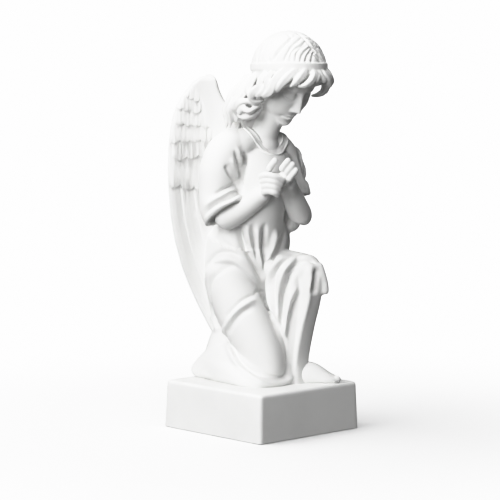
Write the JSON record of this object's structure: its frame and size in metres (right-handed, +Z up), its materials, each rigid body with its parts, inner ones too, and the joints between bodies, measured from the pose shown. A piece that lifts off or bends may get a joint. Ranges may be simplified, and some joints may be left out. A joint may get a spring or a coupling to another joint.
{
  "type": "kneeling angel statue",
  "caption": "Cast kneeling angel with hands clasped in prayer, folded upright wings, short-sleeved robe and hair band, on a square plinth.",
  "frame": {"origin": "centre of the plinth's flat underside", "axes": "+Z up through the figure, -Y is the way the figure faces, +X is the figure's left side"},
  "size_m": [0.1788, 0.1873, 0.5],
  "materials": {
    "cast_stone": "matte"
  },
  "bodies": {
    "root": {"angel_statue": "cast_stone"}
  },
  "joints": []
}
